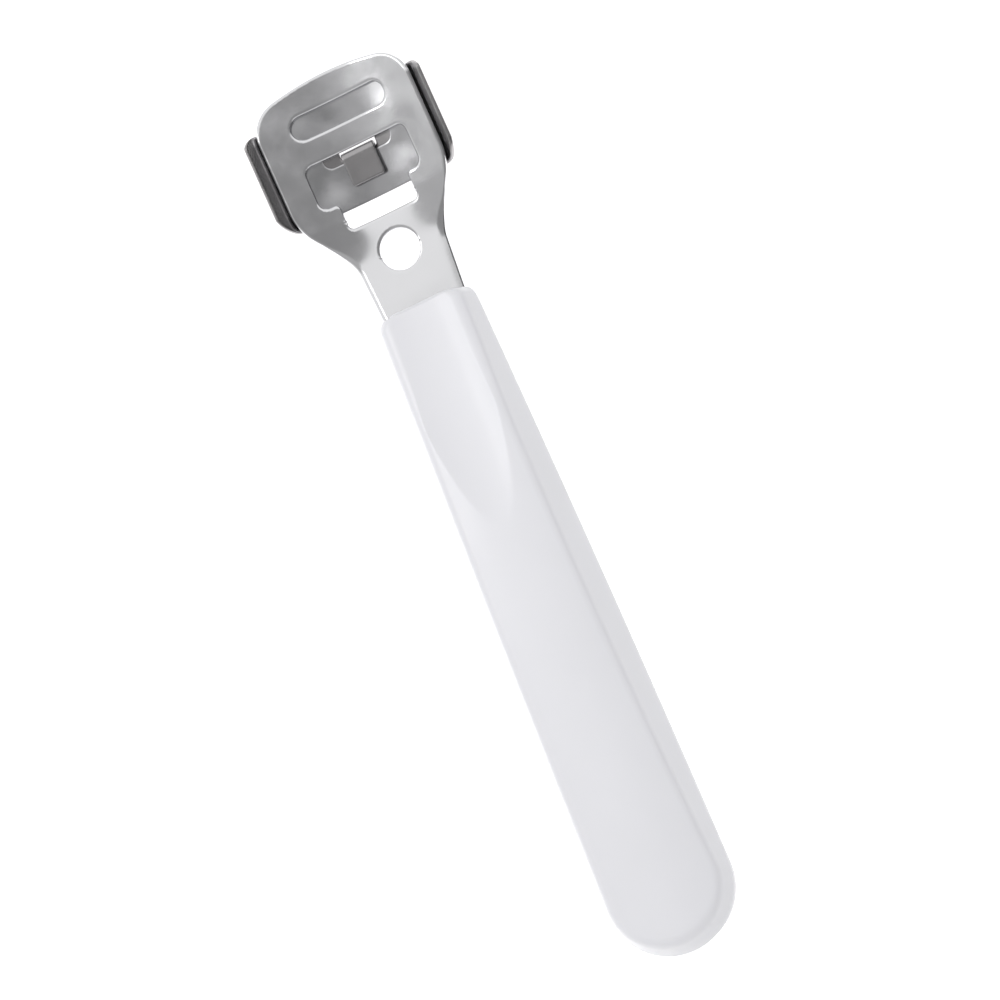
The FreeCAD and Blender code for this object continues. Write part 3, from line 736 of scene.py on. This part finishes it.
class HeadShape:
    """The head plate's middle surface as a function of the length across the sheet and the
    distance from the bend. Across, it is an arch whose edges roll down: level in the head and
    nearly upright along the neck. Along, it goes straight, round the bend and up the head."""

    def __init__(self, size):
        self.size = size
        self.roll = EDGE_ROLL - size.thickness / 2.0

    def parts(self, along):
        """At distances from the bend: the arch's radius on its upper face and in the sheet's
        middle, its half angle, how far past level the edges roll, and half of the length across
        the sheet."""
        crown_radius = mm(4000.0)
        edge_lean = math.radians(75.0)
        mouth_half = mm(8.75)
        taper = 0.06
        fade = smooth_rise(along, low=-mm(8.0), high=mm(1.6))
        curve = fade / ARCH_RADIUS + (1.0 - fade) / crown_radius
        lean = edge_lean * (1.0 - fade)
        neck = mouth_half + taper * (along + NECK_LENGTH)
        share = smooth_rise(along, low=-mm(9.5), high=mm(6.3))
        wide = neck + (self.size.head_width / 2.0 - neck) * share
        under = 1.0 / curve
        top = under - self.size.thickness
        angle = np.arcsin((wide - EDGE_ROLL * np.sin(lean)) / (top + EDGE_ROLL))
        radius = under - self.size.thickness / 2.0
        return under, radius, angle, lean, radius * angle + self.roll * (angle + lean)

    def half_length(self, along):
        """Half of the length across the sheet, rolled edges included."""
        return self.parts(along)[4]

    def section(self, across, along):
        """Place across and height of points in their own section."""
        under, radius, angle, lean, _ = self.parts(along)
        reach = np.abs(across)
        turn = np.minimum(reach / radius, angle)
        x = radius * np.sin(turn)
        z = under - radius * np.cos(turn)
        rolled = np.maximum(reach - radius * angle, 0.0) / self.roll
        x = x + self.roll * (np.sin(rolled - angle) + np.sin(angle))
        z = z + self.roll * (np.cos(rolled - angle) - np.cos(angle))
        return np.sign(across) * x, z

    def place(self, across, along):
        """Point in the model's frame."""
        x, z = self.section(across, along)
        bend = mm(25.0)
        tangent = bend * math.tan(HEAD_TILT / 2.0)
        slope = HEAD_TILT * np.clip((along + tangent) / (2.0 * tangent), 0.0, 1.0)
        straight = np.minimum(along, -tangent)
        tilted = np.maximum(along - tangent, 0.0)
        y = NECK_LENGTH + straight + bend * np.sin(slope) + tilted * math.cos(HEAD_TILT)
        height = NECK_UNDERSIDE + bend * (1.0 - np.cos(slope)) + tilted * math.sin(HEAD_TILT)
        return np.stack([x, y - z * np.sin(slope) + MOUTH_Y, height + z * np.cos(slope)], axis=-1)

    def outline(self, across, along):
        """Signed distance from the sheet's edge: the sides, the tip's arc with its round
        corners, the hanging hole, the oblong slot, and the window stepped in to the throat."""
        size = self.size
        x, _ = self.section(across, along)
        side = np.abs(across) - self.half_length(along)
        root = -NECK_LENGTH - NECK_IN_HANDLE - along
        reach = np.abs(x)
        tip_radius = mm(48.0)
        corner = mm(6.5)
        corner_margin = mm(0.03)
        arc_y = size.head_length - tip_radius
        corner_x = size.head_width / 2.0 + corner_margin - corner
        corner_y = arc_y + math.sqrt((tip_radius - corner) ** 2 - corner_x ** 2)
        by_arc = np.hypot(reach, along - arc_y) - tip_radius
        by_corner = np.hypot(reach - corner_x, along - corner_y) - corner
        past_arc = np.arctan2(reach, along - arc_y) > math.atan2(corner_x, corner_y - arc_y)
        tip = np.where(past_arc & (along > corner_y), by_corner, by_arc)
        # The tip's distance counts only near the tip, and the rest is well inside it.
        tip_start = mm(15.0)
        well_inside = -mm(5.0)
        tip = np.where(along > tip_start, tip, well_inside)
        hole_back = mm(7.8)
        hole = size.hole_radius - np.hypot(x, along + hole_back)
        slot_position = mm(20.2)
        slot = depth_in_slot(x, along - slot_position, half_straight=mm(7.4), radius=mm(2.2))
        window = rounded_box(
            x, along, half_across=mm(10.4), low=mm(4.7), high=WINDOW_TOP, radius=mm(1.6))
        throat = rounded_box(
            x, along, half_across=mm(7.1), low=-mm(0.7), high=mm(9.0), radius=mm(1.0))
        step = mm(0.8)
        joined = np.maximum(step, np.minimum(window, throat)) - np.hypot(
            np.maximum(step - window, 0.0), np.maximum(step - throat, 0.0))
        return np.maximum.reduce([side, root, tip, hole, slot, -joined])


def arch_place(radius):
    """Function that lays a sheet on an arch of this radius, by its length across and its
    distance along the head."""
    def place(across, along):
        turn = across / radius
        return on_head(radius * np.sin(turn), along, ARCH_RADIUS - radius * np.cos(turn))
    return place


def guard_section(width, thickness):
    """Section of the guard's sheet, which goes along the arch, round the curl of each wing and
    up its slanted lip, as a function of the length across; and the half of that length."""
    top = ARCH_RADIUS + 2.0 * BLADE_CLEARANCE + BLADE_THICKNESS
    radius = top + thickness / 2.0
    inner_curl = mm(2.4)
    curl = inner_curl + thickness / 2.0
    end = math.radians(53.0)
    lip = mm(3.0)
    reach = width / 2.0 - (inner_curl + thickness) * math.sin(end) - lip * math.cos(end)
    start = math.asin(reach / (top - inner_curl))
    centre_x = (top - inner_curl) * math.sin(start)
    centre_z = ARCH_RADIUS - (top - inner_curl) * math.cos(start)

    def section(across):
        length = np.abs(across)
        arch = np.minimum(length / radius, start)
        bent = start + np.clip((length - radius * start) / curl, 0.0, end - start)
        straight = np.maximum(length - radius * start - curl * (end - start), 0.0)
        curled = length > radius * start
        x = np.where(curled, centre_x + curl * np.sin(bent) + straight * math.cos(end),
                     radius * np.sin(arch))
        z = np.where(curled, centre_z - curl * np.cos(bent) + straight * math.sin(end),
                     ARCH_RADIUS - radius * np.cos(arch))
        return np.sign(across) * x, z

    return section, radius * start + curl * (end - start) + lip


def plain_net(half_across, low, high, step):
    """Even net over a sheet, with its outermost columns and rows on the given limits."""
    columns = np.linspace(-half_across, half_across, int(2.0 * half_across / step) + 1)
    rows = np.linspace(low, high, int((high - low) / step) + 1)
    return np.meshgrid(columns, rows)


def hook_fold(thickness):
    """Where the hook's fold starts along the head, the radius of its middle surface, and the
    straight length after its half turn."""
    blade_gap = mm(0.35)
    window_gap = mm(0.2)
    length = mm(6.6)
    inner = (2.0 * BLADE_CLEARANCE + BLADE_THICKNESS + blade_gap) / 2.0
    outer = inner + thickness
    return WINDOW_TOP - window_gap - outer, (inner + outer) / 2.0, length - outer


def guard_body(size):
    """The guard without its hook: the arched sheet whose wings are trimmed level with rounded
    corners, set back from the blade's edge, with the opening that the hook is lanced from."""
    thickness = size.guard_thickness
    wing_overhang = mm(0.85)
    top_setback = mm(0.35)
    edge_setback = mm(0.45)
    edge_half = mm(14.8)
    beyond = mm(9.0)
    trim_margin = mm(0.29)
    tip_corner = mm(2.8)
    foot_corner = mm(6.0)
    hook_relief = mm(0.4)
    recess_corner = mm(0.45)
    section, half = guard_section(size.guard_width, thickness)
    _, wing_height = section(np.array(half))
    low = BLADE_EDGE - wing_overhang
    high = BLADE_EDGE + BLADE_HEIGHT - top_setback
    bend_y, fold_radius, straight = hook_fold(thickness)
    developed = math.pi * fold_radius + straight

    def place(across, along):
        x, height = section(across)
        return on_head(x, along, height)

    def outline(across, along):
        over_top = section(across)[1] - wing_height - trim_margin
        sheet = np.where(
            along > (low + high) / 2.0,
            rounded_corner(over_top, along - high, tip_corner),
            rounded_corner(over_top, low - along, foot_corner))
        recess = rounded_box(
            across, along, edge_half, low - beyond, BLADE_EDGE + edge_setback, recess_corner)
        lanced = rounded_box(
            across, along, size.hook_width / 2.0 + hook_relief,
            bend_y, bend_y + developed, HOOK_CORNER)
        return np.maximum.reduce([np.abs(across) - half, sheet, -recess, -lanced])

    across, along = plain_net(
        half - GUARD_RIM, low + GUARD_RIM, high - GUARD_RIM, step=mm(0.27))
    face = even_height(thickness / 2.0)
    return pressed_sheet(place, across, along, outline, face, face, GUARD_RIM)


def guard_hook(size):
    """The hook as a strip by its run: a lead inside the guard's sheet, a half turn up through
    the blade's slot, and a straight leg back over the blade."""
    thickness = size.guard_thickness
    lead = mm(1.2)
    lead_inset = mm(0.02)
    bend_y, fold_radius, straight = hook_fold(thickness)
    arc = math.pi * fold_radius
    half = size.hook_width / 2.0
    level = -2.0 * BLADE_CLEARANCE - BLADE_THICKNESS - thickness / 2.0

    def place(x, run):
        turn = np.clip(run / fold_radius, 0.0, math.pi)
        before = np.minimum(run, 0.0)
        after = np.maximum(run - arc, 0.0)
        return on_head(x, bend_y + before + fold_radius * np.sin(turn) - after,
                       level + fold_radius * (1.0 - np.cos(turn)))

    def outline(x, run):
        return rounded_box(x, run, half, -lead, arc + straight, HOOK_CORNER)

    def face(x, run):
        # The lead lies inside the plate's sheet, so it is a little thinner.
        return thickness / 2.0 - np.where(run < 0.0, lead_inset, 0.0)

    across, run = plain_net(
        half - GUARD_RIM, GUARD_RIM - lead, arc + straight - GUARD_RIM, step=mm(0.2))
    return pressed_sheet(place, across, run, outline, face, face, GUARD_RIM)


# Operators


class MakeHandle(bpy.types.Operator):
    """Make the moulded handle with its thumb rest and ribbed underside"""

    bl_idname = "callus_remover.make_handle"
    bl_label = "Make handle"

    def execute(self, context):
        size = context.scene.callus_handle
        x, y, z = close_mouth(*handle_net(size))
        points = np.stack([x, y, z], axis=-1).reshape(-1, 3)
        faces = grid_quads(*x.shape).reshape(-1, 4)
        plastic = moulded_polypropylene(size.colour)
        add_piece("moulded_handle", points, faces, "handle", plastic)
        return {"FINISHED"}


class MakeHeadPlate(bpy.types.Operator):
    """Make the head plate, one pressed sheet with its openings, bend and neck"""

    bl_idname = "callus_remover.make_head_plate"
    bl_label = "Make head plate"

    def execute(self, context):
        size = context.scene.callus_head
        shape = HeadShape(size)
        low = -NECK_LENGTH - NECK_IN_HANDLE + size.rim
        along = np.linspace(low, size.head_length, num=206)[:, None]
        share = np.linspace(-1.0, 1.0, num=133)[None, :]
        across = share * (shape.half_length(along) - size.rim)
        along = np.broadcast_to(along, across.shape)
        face = even_height(size.thickness / 2.0)
        points, faces = pressed_sheet(
            shape.place, across, along, shape.outline, face, face, size.rim)
        steel = rolled_stainless(
            "pressed stainless steel", size.colour,
            roughness=0.14, line_strength=0.06, flex=mm(0.15))
        add_piece("pressed_head", points, faces, "head_plate", steel)
        return {"FINISHED"}


class MakeBlade(bpy.types.Operator):
    """Make the thin blade, flexed to the arch and ground to its edge"""

    bl_idname = "callus_remover.make_blade"
    bl_label = "Make blade"

    def execute(self, context):
        size = context.scene.callus_blade_and_guard
        radius = ARCH_RADIUS + BLADE_CLEARANCE + BLADE_THICKNESS / 2.0
        half = radius * math.asin(size.blade_width / 2.0 / radius)
        low = BLADE_EDGE
        high = BLADE_EDGE + BLADE_HEIGHT
        rim = mm(0.1)
        ground_width = mm(1.0)
        ground_depth = mm(0.04)
        middle = (low + high) / 2.0

        def outline(across, along):
            sheet = rounded_box(across, along, half, low, high, radius=mm(0.8))
            slot = depth_in_slot(
                across, along - middle, half_straight=mm(5.3), radius=mm(1.7))
            return np.maximum(sheet, slot)

        def below(across, along):
            from_edge = np.clip((along - low) / ground_width, 0.0, 1.0)
            return BLADE_THICKNESS / 2.0 - ground_depth * (1.0 - from_edge)

        across, along = plain_net(half - rim, low + rim, high - rim, step=mm(0.3))
        points, faces = pressed_sheet(
            arch_place(radius), across, along, outline,
            even_height(BLADE_THICKNESS / 2.0), below, rim)
        steel = rolled_stainless(
            "rolled blade steel", size.blade_colour,
            roughness=0.16, line_strength=0.1, flex=mm(0.4))
        add_piece("flexed_blade", points, faces, "blade", steel)
        return {"FINISHED"}


class MakeGuardPlate(bpy.types.Operator):
    """Make the guard plate with its wings, and the hook that holds the blade"""

    bl_idname = "callus_remover.make_guard_plate"
    bl_label = "Make guard plate"

    def execute(self, context):
        size = context.scene.callus_blade_and_guard
        body_points, body_faces = guard_body(size)
        hook_points, hook_faces = guard_hook(size)
        points = np.concatenate([body_points, hook_points])
        faces = np.concatenate([body_faces, hook_faces + len(body_points)])
        steel = rolled_stainless(
            "pressed guard steel", size.guard_colour,
            roughness=0.2, line_strength=0.15, flex=mm(0.12))
        add_piece("guard_with_hook", points, faces, "guard_plate", steel)
        return {"FINISHED"}


def flat_card(name, corners, material):
    """One flat face of the stage, with its corners in order."""
    mesh = bpy.data.meshes.new(name)
    mesh.from_pydata(corners, [], [tuple(range(len(corners)))])
    mesh.materials.append(material)
    made = scene_object(name, mesh)
    return made


def mirrored_card(name, corners, level, left_level):
    """Lit card that only shiny surfaces mirror: it neither lights nor shades anything."""
    made = flat_card(name, corners, lit_card(name, level, left_level))
    for rays in ("camera", "diffuse", "transmission", "volume_scatter", "shadow"):
        setattr(made, "visible_" + rays, False)


def photo_camera():
    """Makes the camera at the photograph's angle and returns the point that it aims at."""
    # It looks down at the back, from a little to the right and towards the round end.
    away = Vector((0.25, -0.18, 0.951)).normalized()
    roll = math.radians(22.75)
    axis = Vector((0.0, 1.0, 0.0))
    seen_axis = (axis - away * axis.dot(away)).normalized()
    beside = away.cross(seen_axis)
    up = seen_axis * math.cos(roll) - beside * math.sin(roll)
    right = -seen_axis * math.sin(roll) - beside * math.cos(roll)
    # The picture's side spans 182.3 mm, and the mouth's middle lies at these shares of it.
    span = mm(182.3)
    mouth_right = 0.4236
    mouth_down = 0.3044
    mouth = Vector((0.0, MOUTH_Y, GIRTH_HEIGHT))
    aim = mouth + right * (0.5 - mouth_right) * span + up * (mouth_down - 0.5) * span
    distance = 1.6
    sensor = 36.0
    camera_data = bpy.data.cameras.new("camera")
    camera_data.sensor_width = sensor
    camera_data.lens = sensor * distance / span
    camera_data.clip_start = 0.1
    camera_data.clip_end = 20.0
    camera = scene_object("camera", camera_data)
    turned = Matrix((right, up, away)).transposed().to_4x4()
    camera.matrix_world = Matrix.Translation(aim + away * distance) @ turned
    bpy.context.scene.camera = camera
    return aim


def large_softbox(aim, power):
    """Soft lamp over the tip's left side that faces the point aimed at. The steel mirrors the
    cards instead of it."""
    toward = Vector((-0.32, 0.22, 0.9)).normalized()
    reach = 0.9
    data = bpy.data.lights.new("large_softbox", "AREA")
    data.shape = "RECTANGLE"
    data.size = 0.5
    data.size_y = 0.7
    data.energy = power
    made = scene_object("large_softbox", data)
    made.location = aim + toward * reach
    made.rotation_euler = toward.to_track_quat("Z", "Y").to_euler()
    made.visible_glossy = False


def white_room(strength):
    """World that lights the tool evenly at this strength and shows as plain white."""
    world = bpy.data.worlds.new("white room")
    world.use_nodes = True
    tree = world.node_tree
    tree.nodes.clear()
    lit = add_node(tree, "ShaderNodeBackground", {}, {"Color": WHITE, "Strength": strength})
    white = add_node(tree, "ShaderNodeBackground", {}, {"Color": WHITE, "Strength": 1.0})
    mixed = add_node(tree, "ShaderNodeMixShader", {}, {
        0: seen_directly(tree), 1: lit.outputs["Background"], 2: white.outputs["Background"]})
    add_node(tree, "ShaderNodeOutputWorld", {}, {"Surface": mixed.outputs["Shader"]})
    return world


class SetStage(bpy.types.Operator):
    """Set the paper floor, the camera, the softbox, the cards and the white room"""

    bl_idname = "callus_remover.set_stage"
    bl_label = "Set stage"

    def execute(self, context):
        studio = context.scene.callus_studio
        context.scene.view_settings.view_transform = "Standard"

        half = 3.0
        drop = mm(0.02)
        corners = [(-half, -half, -drop), (half, -half, -drop),
                   (half, half, -drop), (-half, half, -drop)]
        flat_card("paper_floor", corners, matt_paper(studio.floor_colour))
        aim = photo_camera()
        large_softbox(aim, studio.lamp_power)

        # The head mirrors what is straight above it, the neck the white room further towards the
        # tip, the thumb rest the softbox's front, and the wings what is low down on the right.
        # The overhead card's far edge keeps about one angle to the head all along it.
        overhead_height = 1.0
        overhead_edge = [(-3.0, -2.5), (2.5, -2.5), (2.5, 0.40), (0.9, 0.23), (0.1, 0.18),
                         (-0.5, 0.18), (-1.3, 0.22), (-3.0, 0.36)]
        mirrored_card("overhead_card", [(x, y, overhead_height) for x, y in overhead_edge],
                      studio.overhead, studio.overhead_left)
        mirrored_card(
            "softbox_front",
            [(-0.72, 0.2, 0.8), (-0.45, 0.2, 0.8), (-0.45, 0.5, 0.8), (-0.72, 0.5, 0.8)],
            studio.highlight, studio.highlight)
        mirrored_card(
            "right_flag", [(1.0, -1.5, 0.0), (1.0, 1.8, 0.0), (1.0, 1.8, 0.4), (1.0, -1.5, 0.4)],
            studio.flag, studio.flag)

        context.scene.world = white_room(studio.sky)
        return {"FINISHED"}


class CallusRemoverPanel(bpy.types.Panel):
    """Lists the steps that build the callus remover."""

    bl_idname = "VIEW3D_PT_callus_remover"
    bl_label = "Callus remover"
    bl_space_type = "VIEW_3D"
    bl_region_type = "UI"
    bl_category = "Callus remover"

    def draw(self, context):
        column = self.layout.column()
        for step in STEPS:
            column.operator(step.bl_idname)
        for name, kind in GROUPS.items():
            box = column.box()
            for field in kind.__annotations__:
                box.prop(getattr(context.scene, name), field)


GROUPS = {
    "callus_handle": MouldedHandle,
    "callus_head": PressedHead,
    "callus_blade_and_guard": BladeAndGuard,
    "callus_studio": Studio,
}
STEPS = (MakeHandle, MakeHeadPlate, MakeBlade, MakeGuardPlate, SetStage)


def register():
    """Registers the groups of sizes, the operators and the panel."""
    for name, group in GROUPS.items():
        bpy.utils.register_class(group)
        setattr(bpy.types.Scene, name, bpy.props.PointerProperty(type=group))
    for step in STEPS:
        bpy.utils.register_class(step)
    bpy.utils.register_class(CallusRemoverPanel)


def unregister():
    """Takes back what register added."""
    bpy.utils.unregister_class(CallusRemoverPanel)
    for step in reversed(STEPS):
        bpy.utils.unregister_class(step)
    for name, group in reversed(list(GROUPS.items())):
        delattr(bpy.types.Scene, name)
        bpy.utils.unregister_class(group)


def main():
    """Builds every piece in order."""
    register()
    bpy.ops.callus_remover.make_handle()
    bpy.ops.callus_remover.make_head_plate()
    bpy.ops.callus_remover.make_blade()
    bpy.ops.callus_remover.make_guard_plate()
    bpy.ops.callus_remover.set_stage()


if __name__ == "__main__":
    main()
